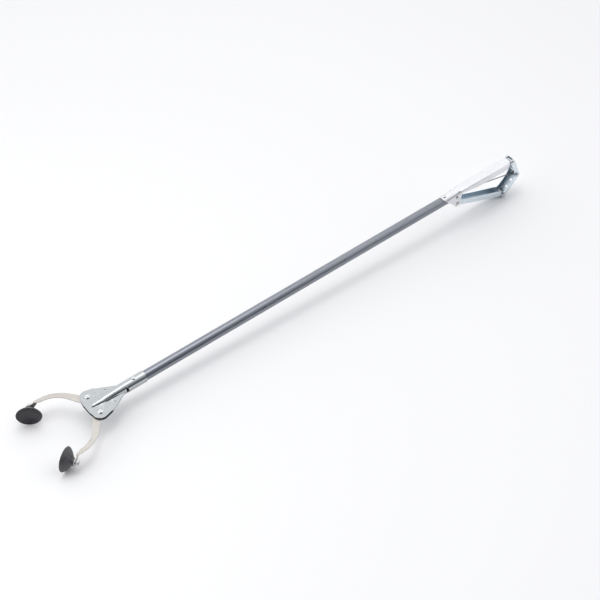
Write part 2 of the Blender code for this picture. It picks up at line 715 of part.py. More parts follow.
def make_handle_body():
    """Fixed handle: a collar over the tube, ears for the trigger pivot, then a shallow channel."""
    round_top = (HANDLE_HALF_WIDTH, COLLAR_RADIUS - 0.05 * MM, HANDLE_HALF_WIDTH - 0.05 * MM)
    flat_top = (HANDLE_HALF_WIDTH, WEB_TOP, 3.0 * MM)
    stations = [
        (590 * MM, *round_top),
        (630.2 * MM, *round_top),
        (634 * MM, *flat_top),
        (740.5 * MM, *flat_top),
        (747.8 * MM, HANDLE_REAR_HALF_WIDTH, WEB_TOP, 2.4 * MM),
        (749.8 * MM, HANDLE_REAR_HALF_WIDTH, 13 * MM, 1.6 * MM),
        (764 * MM, HANDLE_REAR_HALF_WIDTH, 13 * MM, 1.6 * MM),
    ]
    ear = TRIGGER_PIVOT
    outline = [
        (HANDLE_FRONT, 14 * MM),
        (HANDLE_FRONT, 8.5 * MM),
        (HANDLE_FRONT + 9.0 * MM, 0),
        (HANDLE_FRONT + 17.6 * MM, -8.4 * MM),
        *arc(ear, 6.8 * MM, 200, 360, 12),
        (ear[0] + 7.0 * MM, -6 * MM),
        (ear[0] + 7.6 * MM, 1.6 * MM),
        (ear[0] + 9.5 * MM, 3.4 * MM),
        (ear[0] + 13 * MM, 3.2 * MM),
        (664 * MM, -1.2 * MM),
        (676 * MM, -2.9 * MM),
        (741 * MM, -3.1 * MM),
        (747 * MM, 0),
        *arc(TOP_PIVOT, 4.6 * MM, -100, 130, 14),
        (748.4 * MM, 7.6 * MM),
        (748.4 * MM, 14 * MM),
    ]
    body = make_channel("handle_body", stations, outline)
    for side in (-1, 1):
        notch = (631.8 * MM, side * (HANDLE_HALF_WIDTH - 0.4 * MM), 10 * MM)
        cut(body, hole_cutter("handle_relief", 1.7 * MM, notch, "Z", 12 * MM, 14))
    cut(body, hole_cutter("handle_trigger_hole", PIN_RADIUS + GAP, in_plane(TRIGGER_PIVOT), "Y"))
    cut(body, hole_cutter("handle_top_hole", PIN_RADIUS + GAP, in_plane(TOP_PIVOT), "Y"))
    cut(body, hole_cutter("handle_side_hole", RIVET_SHANK + GAP, (SIDE_RIVET_X, 0, 0), "Y", steps=16))
    top = (TOP_RIVET_X, 0, 15 * MM)
    cut(body, hole_cutter("handle_rivet_hole", RIVET_SHANK + GAP, top, "Z", 30 * MM, 16))


def link_frame(start, end):
    """Length from one pivot to the next, and the tilt about Y that lays local X along it."""
    run = Vector((end[0] - start[0], end[1] - start[1]))
    return run.length, math.atan2(-run.y, run.x)


def drill(obj, name, radius, pivot):
    cut(obj, hole_cutter(name, radius, in_plane(pivot), "Y"))


def make_trigger():
    length, turn = link_frame(TRIGGER_PIVOT, LINK_PIVOT)
    shape = (TRIGGER_HALF_WIDTH, TRIGGER_WEB, 2.4 * MM)
    stations = [(-12 * MM, *shape), (length + 12 * MM, *shape)]
    outline = [
        *arc((0, 0), 6.0 * MM, 245, 75, 12),
        (14 * MM, 4.2 * MM),
        (56 * MM, 4.6 * MM),
        (84 * MM, 5.4 * MM),
        (104 * MM, 6.2 * MM),
        *arc((length, 0), 5.4 * MM, 80, -60, 10),
        (length + 0.6 * MM, -9 * MM),
        (4 * MM, -9 * MM),
    ]
    origin = in_plane(TRIGGER_PIVOT)
    trigger = make_channel("trigger", stations, outline, origin, turn, side=-1)
    drill(trigger, "trigger_front_hole", PIN_RADIUS + GAP, TRIGGER_PIVOT)
    drill(trigger, "trigger_rear_hole", PIN_RADIUS + GAP, LINK_PIVOT)


def make_middle_link():
    length, turn = link_frame(LINK_PIVOT, WIRE_PIVOT)
    shape = (MIDDLE_HALF_WIDTH, MIDDLE_WEB, 2.6 * MM)
    stations = [(-12 * MM, *shape), (length + 12 * MM, *shape)]
    outline = [
        *arc((0, 0), 5.6 * MM, 262, 70, 12),
        (9 * MM, 3.2 * MM),
        (20 * MM, 2.2 * MM),
        (31 * MM, 3.2 * MM),
        *arc((length, 0), 5.4 * MM, 110, -80, 12),
        (length - 4 * MM, -9 * MM),
        (2 * MM, -9 * MM),
    ]
    origin = in_plane(LINK_PIVOT)
    link = make_channel("middle_link", stations, outline, origin, turn, side=-1)
    drill(link, "middle_lower_hole", PIN_RADIUS + GAP, LINK_PIVOT)
    drill(link, "middle_upper_hole", PIN_RADIUS + OPEN_PIVOT_CLEARANCE, WIRE_PIVOT)
    rotation = Matrix.Rotation(turn, 3, "Y").to_quaternion()
    for share in (0.33, 0.67):
        cutter = hole_cutter("middle_web_hole", 2.4 * MM, (0, 0, 0), "Z", 8 * MM, 16)
        cutter.rotation_mode = "QUATERNION"
        cutter.rotation_quaternion = rotation
        cutter.location = in_plane(LINK_PIVOT) + rotation @ Vector((share * length, 0, -MIDDLE_WEB))
        cut(link, cutter)


def make_top_link():
    length, turn = link_frame(TOP_PIVOT, WIRE_PIVOT)
    shape = (TOP_LINK_HALF_WIDTH, TOP_LINK_WEB, 2.2 * MM)
    stations = [(-12 * MM, *shape), (length + 12 * MM, *shape)]
    outline = [
        *arc((0, 0), 4.8 * MM, 80, 290, 12),
        (length / 2, -2.4 * MM),
        *arc((length, 0), 4.8 * MM, -110, 80, 12),
        (length - 3.5 * MM, 9 * MM),
        (3.5 * MM, 9 * MM),
    ]
    origin = in_plane(TOP_PIVOT)
    link = make_channel("top_link", stations, outline, origin, turn, side=1)
    drill(link, "top_link_upper_hole", PIN_RADIUS + GAP, TOP_PIVOT)
    drill(link, "top_link_lower_hole", PIN_RADIUS + GAP, WIRE_PIVOT)


def make_handle_pins():
    for name, pivot, half_width in (
        ("trigger_pivot_pin", TRIGGER_PIVOT, HANDLE_HALF_WIDTH),
        ("trigger_link_pin", LINK_PIVOT, MIDDLE_HALF_WIDTH),
        ("wire_link_pin", WIRE_PIVOT, MIDDLE_HALF_WIDTH),
        ("top_link_pin", TOP_PIVOT, TOP_LINK_HALF_WIDTH),
    ):
        grip = 2 * (half_width + GAP)
        rivet(name, PIN_RADIUS, 3.5 * MM, 1.5 * MM, grip, in_plane(pivot), (0, 1, 0))


def make_handle_rivets():
    inner = COLLAR_RADIUS - TUBE_BORE + 2 * GAP
    seat = COLLAR_RADIUS + GAP
    make_collar_rivet("handle_rivet_top", (TOP_RIVET_X, 0, seat), (0, 0, 1), inner)
    for side, word in ((1, "left"), (-1, "right")):
        origin = (SIDE_RIVET_X, side * seat, 0)
        make_collar_rivet("handle_rivet_" + word, origin, (0, side, 0), inner)


def make_pull_wire():
    """Wire from the rod's eye to the pin of the links: hooked sideways in the eye, looped on the pin."""
    start = Vector((ROD_EYE_X, 0, 0))
    end = in_plane(WIRE_PIVOT)
    run = (end - start).normalized()
    loop_radius = PIN_RADIUS + OPEN_PIVOT_CLEARANCE + WIRE_RADIUS
    offset = -2.9 * MM
    route = [
        start + Vector((0, 2.3 * MM, 0)),
        start + Vector((0, offset + 1.0 * MM, 0)),
        start + Vector((0.3 * MM, offset + 0.3 * MM, 0)),
        start + Vector((0, offset, 0)) + run * 1.1 * MM,
        start + Vector((0, offset, 0)) + run * 14 * MM,
        start + run * 34 * MM,
        end - run * (loop_radius - 0.3 * MM),
    ]
    wire = place("pull_wire", wire_mesh(route, WIRE_RADIUS), SPRING_STEEL, start)
    loop = [
        end + Vector((loop_radius * math.cos(a), 0, loop_radius * math.sin(a)))
        for a in (2 * math.pi * step / 20 for step in range(20))
    ]
    cut(wire, place("pull_wire_loop", wire_mesh(loop, WIRE_RADIUS, closed=True), None), "UNION")
    shade(wire.data)


def main():
    make_tube()
    make_tube_fittings()
    make_pull_rod()
    make_yoke()
    make_head_plate("head_plate_top", 1)
    make_head_plate("head_plate_bottom", -1)
    make_head_fasteners()
    for word, side in (("left", 1), ("right", -1)):
        make_jaw(word, side)
        make_cup(word, side)
    make_handle_body()
    make_trigger()
    make_middle_link()
    make_top_link()
    make_handle_pins()
    make_handle_rivets()
    make_pull_wire()
    FRAME.rotation_euler = (0, REST_TILT, 0)
    FRAME.location = FRAME_PLACE


main()
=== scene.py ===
"""Looks of the reacher grabber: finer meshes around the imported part, finishes, light, camera."""

import json
import math

import bmesh
import bpy
from mathutils import Matrix, Vector


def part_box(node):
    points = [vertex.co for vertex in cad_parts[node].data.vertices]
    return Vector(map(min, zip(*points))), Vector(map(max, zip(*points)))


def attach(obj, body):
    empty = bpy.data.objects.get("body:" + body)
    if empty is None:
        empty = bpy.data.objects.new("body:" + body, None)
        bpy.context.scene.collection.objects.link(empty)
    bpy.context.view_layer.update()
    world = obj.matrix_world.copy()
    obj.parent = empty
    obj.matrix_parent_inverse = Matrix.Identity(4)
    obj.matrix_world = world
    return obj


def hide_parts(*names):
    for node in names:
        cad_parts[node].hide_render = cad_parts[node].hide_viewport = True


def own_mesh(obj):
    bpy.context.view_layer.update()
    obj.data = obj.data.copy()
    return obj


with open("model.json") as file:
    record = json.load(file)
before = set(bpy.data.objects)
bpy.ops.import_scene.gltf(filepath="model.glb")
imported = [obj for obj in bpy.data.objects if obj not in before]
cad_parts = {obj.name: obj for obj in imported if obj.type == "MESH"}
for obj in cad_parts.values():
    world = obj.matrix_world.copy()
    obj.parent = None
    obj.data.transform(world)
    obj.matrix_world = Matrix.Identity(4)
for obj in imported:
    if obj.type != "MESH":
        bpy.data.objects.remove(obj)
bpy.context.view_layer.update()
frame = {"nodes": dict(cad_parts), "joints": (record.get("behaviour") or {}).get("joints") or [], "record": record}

MM = 0.001
NODES = frame["nodes"]
BODY_OF = {
    node: body for body, nodes in frame["record"]["behaviour"]["bodies"].items() for node in nodes
}
SLOT_OF = {part["node"]: part["material_slot"] for part in frame["record"]["subparts"]}
JOINTS = {joint["name"]: joint for joint in frame["joints"]}


# ---------------------------------------------------------------- the tool's own frame


JAW_PIVOT_X = -89 * MM  # where the jaws' hinges lie along the tube, in the tool's frame


def tool_frame():
    """Matrix from the tool's frame to the world: X along the tube towards the handle, Z up."""
    ahead = Vector(JOINTS["rod_slide"]["axis"]).normalized()
    up = Vector(JOINTS["left_jaw_hinge"]["axis"]).normalized()
    left = Vector(JOINTS["left_jaw_hinge"]["pos_m"])
    right = Vector(JOINTS["right_jaw_hinge"]["pos_m"])
    origin = (left + right) / 2 - ahead * JAW_PIVOT_X
    turn = Matrix((ahead, up.cross(ahead), up)).transposed().to_4x4()
    return Matrix.Translation(origin) @ turn


TOOL = tool_frame()
ALONG = TOOL.to_3x3() @ Vector((1, 0, 0))
UP = TOOL.to_3x3() @ Vector((0, 0, 1))
SIDE = Vector((0, 1, 0))


def middle_of(node):
    low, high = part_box(node)
    return (low + high) / 2


# ---------------------------------------------------------------- finishes


# Nearly all of a noise pattern's values lie in this range, so ramps are spread over it.
PATTERN_LOW = 0.25
PATTERN_HIGH = 0.75
SHEET_METALLIC = 0.95
ROLLED_GRAIN = 0.8 * MM
HANDLING_MARKS = 9 * MM
COLOUR_SPREAD = 0.07  # how much lighter or darker than its colour a sheet's shades are


class Finish:
    """A node material under construction, with its colour, roughness and bump patterns."""

    def __init__(self, name, roughness, metallic, scale=(1, 1, 1)):
        self.material = bpy.data.materials.new(name)
        self.material.use_nodes = True
        self.nodes = self.material.node_tree.nodes
        self.links = self.material.node_tree.links
        self.shader = self.nodes["Principled BSDF"]
        self.shader.inputs["Metallic"].default_value = metallic
        self.shader.inputs["Roughness"].default_value = roughness
        place = self.nodes.new("ShaderNodeTexCoord")
        self.mapping = self.nodes.new("ShaderNodeMapping")
        self.mapping.inputs["Scale"].default_value = scale
        self.links.new(place.outputs["Object"], self.mapping.inputs["Vector"])

    def noise(self, size, detail=3.0, distortion=0.0):
        """Cloudy pattern whose features are about this size in metres."""
        noise = self.nodes.new("ShaderNodeTexNoise")
        noise.inputs["Scale"].default_value = 1 / size
        noise.inputs["Detail"].default_value = detail
        noise.inputs["Distortion"].default_value = distortion
        self.links.new(self.mapping.outputs["Vector"], noise.inputs["Vector"])
        return noise.outputs["Fac"]

    def grains(self, size):
        """Flat-shaded crystals of about this size."""
        cells = self.nodes.new("ShaderNodeTexVoronoi")
        cells.inputs["Scale"].default_value = 1 / size
        self.links.new(self.mapping.outputs["Vector"], cells.inputs["Vector"])
        grey = self.nodes.new("ShaderNodeRGBToBW")
        self.links.new(cells.outputs["Color"], grey.inputs["Color"])
        return grey.outputs["Val"]

    def mix(self, first, second, share):
        blend = self.nodes.new("ShaderNodeMix")
        blend.inputs["Factor"].default_value = share
        self.links.new(first, blend.inputs["A"])
        self.links.new(second, blend.inputs["B"])
        return blend.outputs["Result"]

    def colour(self, pattern, stops):
        ramp = self.nodes.new("ShaderNodeValToRGB")
        elements = ramp.color_ramp.elements
        while len(elements) < len(stops):
            elements.new(0.5)
        for element, (position, colour) in zip(elements, stops):
            element.position = position
            element.color = (*colour, 1)
        self.links.new(pattern, ramp.inputs["Fac"])
        self.links.new(ramp.outputs["Color"], self.shader.inputs["Base Color"])

    def roughness(self, pattern, low, high):
        spread = self.nodes.new("ShaderNodeMapRange")
        spread.inputs["From Min"].default_value = PATTERN_LOW
        spread.inputs["From Max"].default_value = PATTERN_HIGH
        spread.inputs["To Min"].default_value = low
        spread.inputs["To Max"].default_value = high
        self.links.new(pattern, spread.inputs["Value"])
        self.links.new(spread.outputs["Result"], self.shader.inputs["Roughness"])

    def bump(self, pattern, height, strength=0.6):
        bump = self.nodes.new("ShaderNodeBump")
        bump.inputs["Distance"].default_value = height
        bump.inputs["Strength"].default_value = strength
        self.links.new(pattern, bump.inputs["Height"])
        self.links.new(bump.outputs["Normal"], self.shader.inputs["Normal"])


def shades(colour, *factors):
    """The same colour darker and lighter, as ramp stops spread evenly over a pattern's values."""
    span = (PATTERN_HIGH - PATTERN_LOW) / (len(factors) - 1)
    return [
        (PATTERN_LOW + span * i, tuple(min(value * factor, 1) for value in colour))
        for i, factor in enumerate(factors)
    ]


def anodised_tube():
    """Drawn aluminium tube: fine lines along it under a dark blue-grey satin coat."""
    finish = Finish("anodised_drawn_tube", 0.3, 0.9, (0.03, 1, 1))
    lines = finish.noise(0.9 * MM, 3)
    cloud = finish.noise(7 * MM, 2)
    coat = shades((0.24, 0.255, 0.29), 0.82, 0.97, 1.07, 1.25)
    finish.colour(finish.mix(lines, cloud, 0.4), coat)
    finish.roughness(lines, 0.24, 0.36)
    finish.bump(lines, 0.006 * MM, 0.3)
    return finish.material


def zinc_sheet(name, colour, roughness, grain, brush=(1, 1, 1), contrast=1.0):
    """Zinc-plated sheet: soft crystals, rolled grain, small dull handling marks."""
    finish = Finish(name, roughness, SHEET_METALLIC, brush)
    crystals = finish.grains(grain)
    rolled = finish.noise(ROLLED_GRAIN, 3)
    marks = finish.noise(HANDLING_MARKS, 4, 1.2)
    pattern = finish.mix(finish.mix(crystals, rolled, 0.5), marks, 0.6)
    spread = COLOUR_SPREAD * contrast
    finish.colour(pattern, shades(colour, 1 - 2 * spread, 1 - spread, 1.0, 1 + spread))
    finish.roughness(finish.mix(rolled, marks, 0.7), roughness - 0.06, roughness + 0.09)
    finish.bump(finish.mix(rolled, marks, 0.5), 0.008 * MM, 0.3)
    return finish.material


def rubber():
    """Moulded black rubber with a light bloom and fine pitting."""
    finish = Finish("moulded_black_rubber", 0.42, 0.0)
    bloom = finish.noise(7 * MM, 4, 0.8)
    pits = finish.noise(0.35 * MM, 2)
    black = shades((0.046, 0.044, 0.051), 0.75, 1.0, 1.3, 1.7)
    finish.colour(finish.mix(bloom, pits, 0.2), black)
    finish.roughness(finish.mix(bloom, pits, 0.3), 0.33, 0.5)
    finish.bump(pits, 0.012 * MM, 0.4)
    finish.shader.inputs["Specular IOR Level"].default_value = 0.6
    return finish.material


def nylon():
    """Uncoloured nylon, faintly clouded and pitted."""
    finish = Finish("natural_nylon", 0.45, 0.0)
    cloud = finish.noise(2.5 * MM, 3)
    finish.colour(cloud, shades((0.78, 0.76, 0.70), 0.9, 1.0, 1.05))
    finish.roughness(cloud, 0.38, 0.55)
    finish.bump(finish.noise(0.4 * MM, 2), 0.02 * MM)
    return finish.material


def drawn_wire():
    """Spring steel with lines along it from the drawing die."""
    finish = Finish("drawn_spring_wire", 0.36, 0.9, (0.08, 1, 1))
    lines = finish.noise(0.5 * MM, 4)
    finish.colour(lines, shades((0.30, 0.29, 0.30), 0.6, 0.9, 1.15, 1.5))
    finish.roughness(lines, 0.25, 0.48)
    finish.bump(lines, 0.015 * MM, 0.4)
    return finish.material


FINISHES = {
    "tube": anodised_tube(),
    "head_plate": zinc_sheet(
        "zinc_head_plate", (0.48, 0.505, 0.515), 0.16, 3.2 * MM, contrast=0.55
    ),
    "jaw": zinc_sheet("satin_jaw_strip", (0.54, 0.515, 0.485), 0.34, 2.4 * MM),
    "rubber": rubber(),
    "handle": zinc_sheet(
        "bright_zinc_handle", (0.755, 0.765, 0.795), 0.22, 5.0 * MM, (0.4, 1, 1), 0.6
    ),
    "fastener": zinc_sheet("bright_fastener", (0.66, 0.67, 0.69), 0.2, 1.2 * MM),
    "bush": nylon(),
    "spring_steel": drawn_wire(),
}
BLUE_PASSIVATED = zinc_sheet(
    "blue_passivated_link", (0.74, 0.81, 0.86), 0.22, 4.0 * MM, (0.5, 1, 1), 0.6
)
# Painted shade: a darker blue-grey for the inner faces of the handle's links, standing in for the shade inside
# their channels.
CHANNEL_INSIDE_SHADE = zinc_sheet(
    "painted_shade_channel_inside", (0.50, 0.58, 0.65), 0.3, 4.0 * MM, (0.5, 1, 1), 0.8
)
# Painted shade: a near-black finish on the rim of each rivet head, standing in for the shade and dark reflection
# round its edge.
RIVET_RIM_SHADE = zinc_sheet("painted_shade_rivet_rim", (0.10, 0.105, 0.12), 0.5, 1.0 * MM)
OWN_FINISH = {node: BLUE_PASSIVATED for node in ("trigger", "middle_link", "top_link")}


def finish_of(node):
    return OWN_FINISH.get(node, FINISHES[SLOT_OF[node]])


# ---------------------------------------------------------------- mesh work


WELD = 0.005 * MM
FLAT_ANGLE = 0.6  # degrees between facets of one flat or bent surface that are made into one face
FOLD_ANGLE = 28  # degrees, above which an edge counts as a cut edge and is rounded over
LINK_SHEET = 1.0 * MM
FLANGE_FACING = 0.7  # a flange's normal lies this much or more across the channel


def add_piece(name, mesh, node):
    """A finer piece that stands for a CAD node, rides on its body and takes its finish."""
    piece = bpy.data.objects.new(name, mesh)
    bpy.context.scene.collection.objects.link(piece)
    mesh.materials.clear()
    mesh.materials.append(finish_of(node))
    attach(piece, BODY_OF[node])
    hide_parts(node)
    return piece


def smooth(mesh, degrees=35):
    mesh.shade_smooth()
    mesh.set_sharp_from_angle(angle=math.radians(degrees))


def softened(node, edge):
    """The node's sheet with its flat faces made whole and its cut edges rounded over."""
    solid = bmesh.new()
    solid.from_mesh(NODES[node].data)
    bmesh.ops.remove_doubles(solid, verts=solid.verts, dist=WELD)
    bmesh.ops.dissolve_limit(
        solid, angle_limit=math.radians(FLAT_ANGLE), verts=solid.verts, edges=solid.edges
    )
    mesh = bpy.data.meshes.new(node + "_finished")
    solid.to_mesh(mesh)
    solid.free()
    piece = add_piece(node + "_finished", mesh, node)
    bevel = piece.modifiers.new("rounded_edge", "BEVEL")
    bevel.width = edge
    bevel.segments = 3
    bevel.limit_method = "ANGLE"
    bevel.angle_limit = math.radians(FOLD_ANGLE)
    smooth(mesh, FOLD_ANGLE + 12)
    return piece


def paint_channel_inside_shade(piece, loop_middle):
    """Gives a handle channel's inner faces a darker blue-grey than its outside, as painted shade inside the
    channel.
    """
    mesh = piece.data
    mesh.materials.append(CHANNEL_INSIDE_SHADE)
    outer = max(abs(vertex.co.y) for vertex in mesh.vertices)
    for face in mesh.polygons:
        within = abs(face.center.y) < outer - 0.6 * LINK_SHEET
        if abs(face.normal.y) > FLANGE_FACING:
            inner = face.normal.y * face.center.y < 0
        else:
            inner = face.normal.dot(loop_middle - face.center) > 0
        # Inner faces within the flanges take the painted shade.
        face.material_index = int(within and inner)


def turned(name, profile, centre, axis, node, steps, shade_radius=None):
    """A turned piece. Its profile is (radius, height) in metres, from one end of the axis round to
    the other. Where both ends are off the axis, it closes on itself into a ring. Faces beyond the
    given radius get a near-black finish, painted shade at the rim of a rivet's head."""
    ring = profile[0][0] > 0 and profile[-1][0] > 0
    solid = bmesh.new()
    turn = Vector(axis).to_track_quat("Z", "Y")
    rows = []
    for radius, height in profile:
        if radius <= 0:
            rows.append([solid.verts.new(centre + turn @ Vector((0, 0, height)))])
            continue
        row = []
        for step in range(steps):
            angle = 2 * math.pi * step / steps
            point = Vector((radius * math.cos(angle), radius * math.sin(angle), height))
            row.append(solid.verts.new(centre + turn @ point))
        rows.append(row)
    axis_out = turn @ Vector((0, 0, 1))
    following_rows = rows[1:] + rows[:1] if ring else rows[1:]
    for here, after in zip(rows, following_rows):
        for step in range(steps):
            following = (step + 1) % steps
            corners = [
                here[step % len(here)],
                here[following % len(here)],
                after[following % len(after)],
                after[step % len(after)],
            ]
            unique = list(dict.fromkeys(corners))
            if len(unique) > 2:
                face = solid.faces.new(unique)
                offset = face.calc_center_median() - centre
                across = (offset - axis_out * offset.dot(axis_out)).length
                # Faces beyond the radius take the painted shade of a rivet head's rim.
                face.material_index = int(shade_radius is not None and across > shade_radius)
    bmesh.ops.recalc_face_normals(solid, faces=solid.faces)
    mesh = bpy.data.meshes.new(name)
    solid.to_mesh(mesh)
    solid.free()
    smooth(mesh)
    piece = add_piece(name, mesh, node)
    if shade_radius is not None:
        mesh.materials.append(RIVET_RIM_SHADE)
    return piece


CORNER_SHARE = 0.45  # the most of a side that one rounded corner takes, so that two never meet


def rounded(profile, radius, steps=4):
    """A profile with its corners rounded, each reaching at most this far along its sides."""
    points = [Vector(point) for point in profile]
    result = [points[0]]
    for before, corner, after in zip(points, points[1:], points[2:]):
        back, ahead = before - corner, after - corner
        reach = min(radius, back.length * CORNER_SHARE, ahead.length * CORNER_SHARE)
        start = corner + back.normalized() * reach
        end = corner + ahead.normalized() * reach
        for step in range(steps + 1):
            t = step / steps
            result.append(start * (1 - t) ** 2 + corner * 2 * t * (1 - t) + end * t**2)
    result.append(points[-1])
    return [tuple(point) for point in result]


def wire(name, points, radius, node):
    """A round wire along a smooth path."""
    curve = bpy.data.curves.new(name, "CURVE")
    curve.dimensions = "3D"
    curve.bevel_depth = radius
    curve.bevel_resolution = 5
    curve.use_fill_caps = True
    spline = curve.splines.new("POLY")
    spline.points.add(len(points) - 1)
    for slot, point in zip(spline.points, points):
        slot.co = (*point, 1)
    shape = bpy.data.objects.new(name, curve)
    bpy.context.scene.collection.objects.link(shape)
    graph = bpy.context.evaluated_depsgraph_get()
    mesh = bpy.data.meshes.new_from_object(shape.evaluated_get(graph))
    bpy.data.objects.remove(shape)
    bpy.data.curves.remove(curve)
    smooth(mesh, 60)
    return add_piece(name, mesh, node)


# ---------------------------------------------------------------- pieces


TUBE_RADIUS = 7.95 * MM
TUBE_BORE = 6.95 * MM
BORE_DEPTH = 1 * MM  # how far in from each end the long faces of the inner wall start


def make_tube():
    """Tube with eased edges at its cut ends. Its rivet holes are filled by the rivets."""
    low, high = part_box("shaft_tube")
    length = ((high.x - low.x) - 2 * TUBE_RADIUS * abs(ALONG.z)) / ALONG.x
    half = length / 2
    profile = rounded(
        [
            (TUBE_BORE, -half + BORE_DEPTH),
            (TUBE_BORE, -half),
            (TUBE_RADIUS, -half),
            (TUBE_RADIUS, 0),
            (TUBE_RADIUS, half),
            (TUBE_BORE, half),
            (TUBE_BORE, half - BORE_DEPTH),
        ],
        0.3 * MM,
    )
    turned("shaft_tube_finished", profile, middle_of("shaft_tube"), ALONG, "shaft_tube", 96)


CUP_CENTRE = Vector((-172.4, 50.5, -9.1)) * MM
CUP_ANGLE = math.radians(57.7)
CUP_BOSS_END = 15.5 * MM
CUP_CORNER = 0.5 * MM
POCKET_RADIUS = 4.2 * MM  # the space in the rubber around the head of the screw
POCKET_FRONT = 9.3 * MM
POCKET_BACK = 11 * MM
TAB_MIDDLE = 16.6 * MM
JAW_THICKNESS = 1.6 * MM
SCREW_RADIUS = 1.9 * MM
SCREW_CLEARANCE = 0.3 * MM
SCREW_HEAD_RADIUS = 3.9 * MM
SCREW_HEAD_FRONT = 9.6 * MM
SCREW_HEAD_BACK = 10.7 * MM
SCREW_HEAD_EDGE = 0.3 * MM
THREAD_START = 16 * MM
THREAD_END = 23 * MM
THREAD_PITCH = 0.7 * MM
THREAD_DEPTH = 0.32 * MM
SCREW_POINT_RADIUS = 1.5 * MM
SCREW_SHOULDER = 23.1 * MM
SCREW_POINT = 23.2 * MM
WASHER_RADIUS = 4.6 * MM
WASHER_THICKNESS = 0.9 * MM

# The moulded cup's section in millimetres: radius, and height from the rim, below 0 to the boss.
CUP_OUTSIDE = [
    (19.6, -0.05),
    (19.55, -0.6),
    (19.2, -1.35),
    (17.9, -2.9),
    (16.4, -4.5),
    (16.0, -4.75),
    (15.8, -5.15),
    (12.6, -7.75),
    (10.6, -9.1),
    (8.6, -10.3),
    (7.3, -11.1),
    (6.6, -11.7),
    (6.3, -12.6),
    (6.2, -14.6),
    (6.0, -15.2),
    (5.4, -15.5),
]
CUP_INSIDE = [
    (0.0, -8.1),
    (3.4, -8.05),
    (5.4, -7.8),
    (9.2, -6.6),
    (13.2, -4.7),
    (17.4, -1.8),
    (18.6, -0.6),
    (19.2, -0.05),
]


def cup_axes(side):
    """A cup's rim centre and the direction that it faces, in the world."""
    centre = TOOL @ Vector((CUP_CENTRE.x, side * CUP_CENTRE.y, CUP_CENTRE.z))
    facing = TOOL.to_3x3() @ Vector((-math.cos(CUP_ANGLE), -side * math.sin(CUP_ANGLE), 0))
    return centre, facing


def make_cup(word, side):
    """Moulded cup: thin feathered lip, shallow steps on the cone, a boss with a rolled end."""
    centre, facing = cup_axes(side)
    bore = SCREW_RADIUS + SCREW_CLEARANCE
    cup = [(radius * MM, height * MM) for radius, height in CUP_INSIDE + CUP_OUTSIDE]
    cup += [
        (bore, -CUP_BOSS_END),
        (bore, -POCKET_BACK),
        (POCKET_RADIUS, -POCKET_BACK),
        (POCKET_RADIUS, -POCKET_FRONT),
        (0, -POCKET_FRONT),
    ]
    node = "suction_cup_" + word
    turned(node + "_moulded", rounded(cup, CUP_CORNER, 3), centre, facing, node, 96)
    node = "cup_screw_" + word
    turned(node + "_threaded", screw_profile(), centre, facing, node, 40)
    node = "cup_washer_" + word
    turned(node + "_turned", washer_profile(bore), centre, facing, node, 48)
    softened("cup_nut_" + word, 0.22 * MM)


def screw_profile():
    """The screw's head, moulded into the cup, and its threaded shank through tab and nut."""
    thread = []
    for turn in range(int((THREAD_END - THREAD_START) / THREAD_PITCH)):
        height = -(THREAD_START + turn * THREAD_PITCH)
        thread += [
            (SCREW_RADIUS, height),
            (SCREW_RADIUS - THREAD_DEPTH, height - THREAD_PITCH / 2),
        ]
    return [
        (0, -SCREW_HEAD_FRONT),
        (SCREW_HEAD_RADIUS - SCREW_HEAD_EDGE, -SCREW_HEAD_FRONT),
        (SCREW_HEAD_RADIUS, -SCREW_HEAD_FRONT - SCREW_HEAD_EDGE),
        (SCREW_HEAD_RADIUS, -SCREW_HEAD_BACK),
        (SCREW_RADIUS, -SCREW_HEAD_BACK),
        *thread,
        (SCREW_POINT_RADIUS, -SCREW_SHOULDER),
        (0, -SCREW_POINT),
    ]


def washer_profile(bore):
    """A washer against the far side of the jaw's tab, with its edges eased."""
    seat = -(TAB_MIDDLE + JAW_THICKNESS / 2 + 0.3 * MM)
    back = seat - WASHER_THICKNESS
    return [
        (bore, seat),
        (WASHER_RADIUS - 0.1 * MM, seat),
        (WASHER_RADIUS, seat - 0.15 * MM),
        (WASHER_RADIUS, back + 0.25 * MM),
        (WASHER_RADIUS - 0.25 * MM, back),
        (bore + 0.2 * MM, back),
        (bore, back + 0.2 * MM),
    ]


PIN_SHANK, PIN_HEAD, PIN_HEAD_HEIGHT = 1.7 * MM, 3.5 * MM, 1.5 * MM
JAW_RIVET_SHANK, JAW_RIVET_HEAD, JAW_RIVET_HEAD_HEIGHT = 2.3 * MM, 4.6 * MM, 1.7 * MM
SHADED_RIM_SHARE = 0.8  # share of a head's radius beyond which the head is painted near-black, as painted shade at its rim

# A struck head's section, from its edge in, as shares of the head's radius and height.
DOME_EDGE = [(1.0, 0.0), (1.0, 0.16), (0.93, 0.3), (0.82, 0.52)]
DOME_CROWN = [(0.66, 0.74), (0.45, 0.9), (0.2, 0.99), (0.0, 1.0)]
DIMPLED_CROWN = [
    (0.72, 0.72),
    (0.62, 0.86),
    (0.52, 0.93),
    (0.42, 0.86),
    (0.3, 0.62),
    (0.15, 0.55),
    (0.0, 0.55),
]


def make_pins():
    """Solid rivets with a struck dome and a thin shoulder at each end."""
    for node in ("trigger_pivot_pin", "trigger_link_pin", "wire_link_pin", "top_link_pin"):
        low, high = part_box(node)
        grip = (high.y - low.y) / 2 - PIN_HEAD_HEIGHT
        make_rivet(node, PIN_SHANK, PIN_HEAD, PIN_HEAD_HEIGHT, grip, SIDE, DOME_CROWN)
    for word in ("left", "right"):
        node = "jaw_rivet_" + word
        low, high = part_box(node)
        grip = (high - low).z / UP.z / 2 - JAW_RIVET_HEAD_HEIGHT
        make_rivet(
            node, JAW_RIVET_SHANK, JAW_RIVET_HEAD, JAW_RIVET_HEAD_HEIGHT, grip, UP, DIMPLED_CROWN
        )


